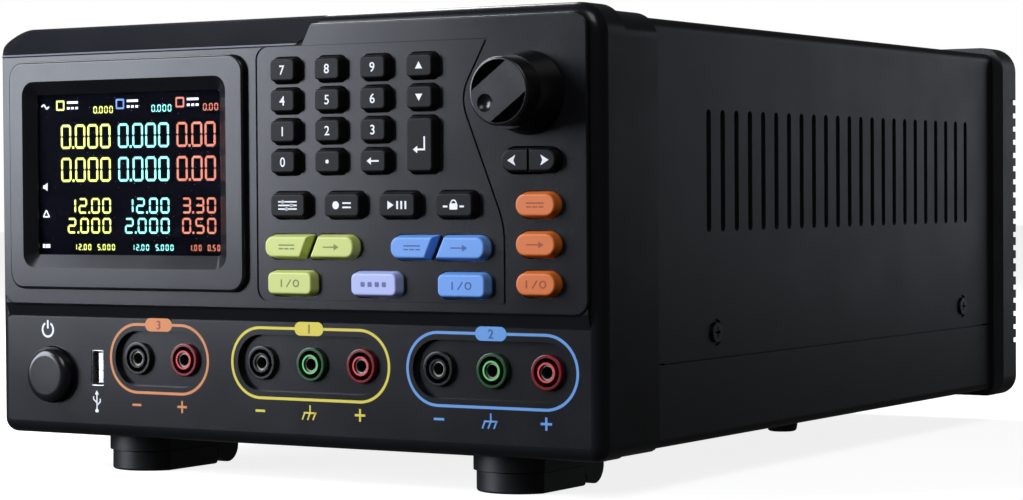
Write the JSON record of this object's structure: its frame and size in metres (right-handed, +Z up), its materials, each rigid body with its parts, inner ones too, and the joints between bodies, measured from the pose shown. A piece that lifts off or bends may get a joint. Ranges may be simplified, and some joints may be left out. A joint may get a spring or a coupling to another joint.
{
  "type": "bench power supply",
  "caption": "Black bench power supply with a colour display, a keypad, an adjusting knob, banana sockets for three outputs, tilt feet and a louvred case.",
  "frame": {"origin": "centre of the footprint, on the surface that the feet stand on", "axes": "+X to the right of someone facing the front, +Y to the back, +Z up"},
  "size_m": [0.25, 0.378, 0.158],
  "materials": {
    "bezel_plastic": "fine moulded texture, charcoal",
    "rear_plastic": "fine moulded texture, dark grey",
    "case_paint": "satin black powder coat",
    "panel_paint": "satin black",
    "key_black": "soft satin silicone",
    "key_lime": "soft satin silicone",
    "key_blue": "soft satin silicone",
    "key_lavender": "soft satin silicone",
    "key_orange": "soft satin silicone",
    "knob_plastic": "semi-gloss black",
    "button_plastic": "gloss black",
    "window": "clear",
    "screen": "glossy black panel",
    "socket_black": "gloss",
    "socket_red": "gloss",
    "socket_green": "gloss",
    "contact": "nickel-plated",
    "port_metal": "plated sheet",
    "circuit_board": "solder mask",
    "iron_core": "laminated, varnished",
    "sink_metal": "extruded",
    "fan_plastic": "moulded black",
    "wire": "plated wire",
    "inlet_plastic": "moulded black",
    "foot_rubber": "matte",
    "foot_plastic": "moulded",
    "screw_steel": "black oxide"
  },
  "bodies": {
    "chassis": {"front_bezel": "bezel_plastic", "display_frame": "bezel_plastic", "display_lens": "window", "lcd_module": "screen", "key_board": "circuit_board", "usb_port": "port_metal", "black_sockets": "socket_black", "red_sockets": "socket_red", "green_sockets": "socket_green", "socket_sleeves": "contact", "foot_bases": "foot_plastic", "rear_feet": "foot_rubber", "top_cover": "case_paint", "bottom_tray": "case_paint", "cover_screws": "screw_steel", "rear_bezel": "rear_plastic", "rear_panel": "panel_paint", "fan_frame": "fan_plastic", "fan_guard": "wire", "mains_inlet": "inlet_plastic", "rear_ports": "port_metal", "transformer": "iron_core", "power_board": "circuit_board", "heat_sink": "sink_metal"},
    "key_0": {"key_0": "key_black"},
    "key_1": {"key_1": "key_black"},
    "key_2": {"key_2": "key_black"},
    "key_3": {"key_3": "key_black"},
    "key_4": {"key_4": "key_black"},
    "key_5": {"key_5": "key_black"},
    "key_6": {"key_6": "key_black"},
    "key_7": {"key_7": "key_black"},
    "key_8": {"key_8": "key_black"},
    "key_9": {"key_9": "key_black"},
    "key_point": {"key_point": "key_black"},
    "key_backspace": {"key_backspace": "key_black"},
    "key_up": {"key_up": "key_black"},
    "key_down": {"key_down": "key_black"},
    "key_enter": {"key_enter": "key_black"},
    "key_utility": {"key_utility": "key_black"},
    "key_record": {"key_record": "key_black"},
    "key_program": {"key_program": "key_black"},
    "key_lock": {"key_lock": "key_black"},
    "key_first_voltage": {"key_first_voltage": "key_lime"},
    "key_first_current": {"key_first_current": "key_lime"},
    "key_second_voltage": {"key_second_voltage": "key_blue"},
    "key_second_current": {"key_second_current": "key_blue"},
    "key_first_output": {"key_first_output": "key_lime"},
    "key_mode": {"key_mode": "key_lavender"},
    "key_second_output": {"key_second_output": "key_blue"},
    "key_third_voltage": {"key_third_voltage": "key_orange"},
    "key_third_current": {"key_third_current": "key_orange"},
    "key_third_output": {"key_third_output": "key_orange"},
    "key_arrows": {"key_arrows": "key_black"},
    "adjust_knob": {"adjust_knob": "knob_plastic"},
    "power_button": {"power_button": "button_plastic"},
    "left_tilt_leg": {"left_tilt_leg": "foot_plastic"},
    "right_tilt_leg": {"right_tilt_leg": "foot_plastic"},
    "fan_rotor": {"fan_rotor": "fan_plastic"},
    "fuse_drawer": {"fuse_drawer": "inlet_plastic"}
  },
  "joints": [
    {"name": "key_0_press", "type": "slide", "parent": "chassis", "child": "key_0", "axis": [0, 1, 0], "range_m": [0, 0.001], "stiffness_N_per_m": 400, "springref_m": -0.001},
    {"name": "key_1_press", "type": "slide", "parent": "chassis", "child": "key_1", "axis": [0, 1, 0], "range_m": [0, 0.001], "stiffness_N_per_m": 400, "springref_m": -0.001},
    {"name": "key_2_press", "type": "slide", "parent": "chassis", "child": "key_2", "axis": [0, 1, 0], "range_m": [0, 0.001], "stiffness_N_per_m": 400, "springref_m": -0.001},
    {"name": "key_3_press", "type": "slide", "parent": "chassis", "child": "key_3", "axis": [0, 1, 0], "range_m": [0, 0.001], "stiffness_N_per_m": 400, "springref_m": -0.001},
    {"name": "key_4_press", "type": "slide", "parent": "chassis", "child": "key_4", "axis": [0, 1, 0], "range_m": [0, 0.001], "stiffness_N_per_m": 400, "springref_m": -0.001},
    {"name": "key_5_press", "type": "slide", "parent": "chassis", "child": "key_5", "axis": [0, 1, 0], "range_m": [0, 0.001], "stiffness_N_per_m": 400, "springref_m": -0.001},
    {"name": "key_6_press", "type": "slide", "parent": "chassis", "child": "key_6", "axis": [0, 1, 0], "range_m": [0, 0.001], "stiffness_N_per_m": 400, "springref_m": -0.001},
    {"name": "key_7_press", "type": "slide", "parent": "chassis", "child": "key_7", "axis": [0, 1, 0], "range_m": [0, 0.001], "stiffness_N_per_m": 400, "springref_m": -0.001},
    {"name": "key_8_press", "type": "slide", "parent": "chassis", "child": "key_8", "axis": [0, 1, 0], "range_m": [0, 0.001], "stiffness_N_per_m": 400, "springref_m": -0.001},
    {"name": "key_9_press", "type": "slide", "parent": "chassis", "child": "key_9", "axis": [0, 1, 0], "range_m": [0, 0.001], "stiffness_N_per_m": 400, "springref_m": -0.001},
    {"name": "key_point_press", "type": "slide", "parent": "chassis", "child": "key_point", "axis": [0, 1, 0], "range_m": [0, 0.001], "stiffness_N_per_m": 400, "springref_m": -0.001},
    {"name": "key_backspace_press", "type": "slide", "parent": "chassis", "child": "key_backspace", "axis": [0, 1, 0], "range_m": [0, 0.001], "stiffness_N_per_m": 400, "springref_m": -0.001},
    {"name": "key_up_press", "type": "slide", "parent": "chassis", "child": "key_up", "axis": [0, 1, 0], "range_m": [0, 0.001], "stiffness_N_per_m": 400, "springref_m": -0.001},
    {"name": "key_down_press", "type": "slide", "parent": "chassis", "child": "key_down", "axis": [0, 1, 0], "range_m": [0, 0.001], "stiffness_N_per_m": 400, "springref_m": -0.001},
    {"name": "key_enter_press", "type": "slide", "parent": "chassis", "child": "key_enter", "axis": [0, 1, 0], "range_m": [0, 0.001], "stiffness_N_per_m": 400, "springref_m": -0.001},
    {"name": "key_utility_press", "type": "slide", "parent": "chassis", "child": "key_utility", "axis": [0, 1, 0], "range_m": [0, 0.001], "stiffness_N_per_m": 400, "springref_m": -0.001},
    {"name": "key_record_press", "type": "slide", "parent": "chassis", "child": "key_record", "axis": [0, 1, 0], "range_m": [0, 0.001], "stiffness_N_per_m": 400, "springref_m": -0.001},
    {"name": "key_program_press", "type": "slide", "parent": "chassis", "child": "key_program", "axis": [0, 1, 0], "range_m": [0, 0.001], "stiffness_N_per_m": 400, "springref_m": -0.001},
    {"name": "key_lock_press", "type": "slide", "parent": "chassis", "child": "key_lock", "axis": [0, 1, 0], "range_m": [0, 0.001], "stiffness_N_per_m": 400, "springref_m": -0.001},
    {"name": "key_first_voltage_press", "type": "slide", "parent": "chassis", "child": "key_first_voltage", "axis": [0, 1, 0], "range_m": [0, 0.001], "stiffness_N_per_m": 400, "springref_m": -0.001},
    {"name": "key_first_current_press", "type": "slide", "parent": "chassis", "child": "key_first_current", "axis": [0, 1, 0], "range_m": [0, 0.001], "stiffness_N_per_m": 400, "springref_m": -0.001},
    {"name": "key_second_voltage_press", "type": "slide", "parent": "chassis", "child": "key_second_voltage", "axis": [0, 1, 0], "range_m": [0, 0.001], "stiffness_N_per_m": 400, "springref_m": -0.001},
    {"name": "key_second_current_press", "type": "slide", "parent": "chassis", "child": "key_second_current", "axis": [0, 1, 0], "range_m": [0, 0.001], "stiffness_N_per_m": 400, "springref_m": -0.001},
    {"name": "key_first_output_press", "type": "slide", "parent": "chassis", "child": "key_first_output", "axis": [0, 1, 0], "range_m": [0, 0.001], "stiffness_N_per_m": 400, "springref_m": -0.001},
    {"name": "key_mode_press", "type": "slide", "parent": "chassis", "child": "key_mode", "axis": [0, 1, 0], "range_m": [0, 0.001], "stiffness_N_per_m": 400, "springref_m": -0.001},
    {"name": "key_second_output_press", "type": "slide", "parent": "chassis", "child": "key_second_output", "axis": [0, 1, 0], "range_m": [0, 0.001], "stiffness_N_per_m": 400, "springref_m": -0.001},
    {"name": "key_third_voltage_press", "type": "slide", "parent": "chassis", "child": "key_third_voltage", "axis": [0, 1, 0], "range_m": [0, 0.001], "stiffness_N_per_m": 400, "springref_m": -0.001},
    {"name": "key_third_current_press", "type": "slide", "parent": "chassis", "child": "key_third_current", "axis": [0, 1, 0], "range_m": [0, 0.001], "stiffness_N_per_m": 400, "springref_m": -0.001},
    {"name": "key_third_output_press", "type": "slide", "parent": "chassis", "child": "key_third_output", "axis": [0, 1, 0], "range_m": [0, 0.001], "stiffness_N_per_m": 400, "springref_m": -0.001},
    {"name": "key_arrows_tip", "type": "hinge", "parent": "chassis", "child": "key_arrows", "pos_m": [0.1012, -0.169, 0.1084], "axis": [0, 0, 1], "range_deg": [-4, 4], "stiffness_Nm_per_rad": 0.05},
    {"name": "power_press", "type": "slide", "parent": "chassis", "child": "power_button", "axis": [0, 1, 0], "range_m": [0, 0.003], "stiffness_N_per_m": 400, "springref_m": -0.001},
    {"name": "knob_turn", "type": "hinge", "parent": "chassis", "child": "adjust_knob", "pos_m": [0.0995, -0.179, 0.1297], "axis": [0, 1, 0], "continuous": true},
    {"name": "fan_spin", "type": "hinge", "parent": "chassis", "child": "fan_rotor", "pos_m": [0.048, 0.158, 0.088], "axis": [0, 1, 0], "continuous": true},
    {"name": "fuse_drawer_slide", "type": "slide", "parent": "chassis", "child": "fuse_drawer", "axis": [0, 1, 0], "range_m": [0, 0.022]},
    {"name": "left_leg_fold", "type": "hinge", "parent": "chassis", "child": "left_tilt_leg", "pos_m": [-0.0775, -0.114, 0.0064], "axis": [1, 0, 0], "range_deg": [0, 80]},
    {"name": "right_leg_fold", "type": "hinge", "parent": "chassis", "child": "right_tilt_leg", "pos_m": [0.0775, -0.114, 0.0064], "axis": [1, 0, 0], "range_deg": [0, 80]}
  ]
}
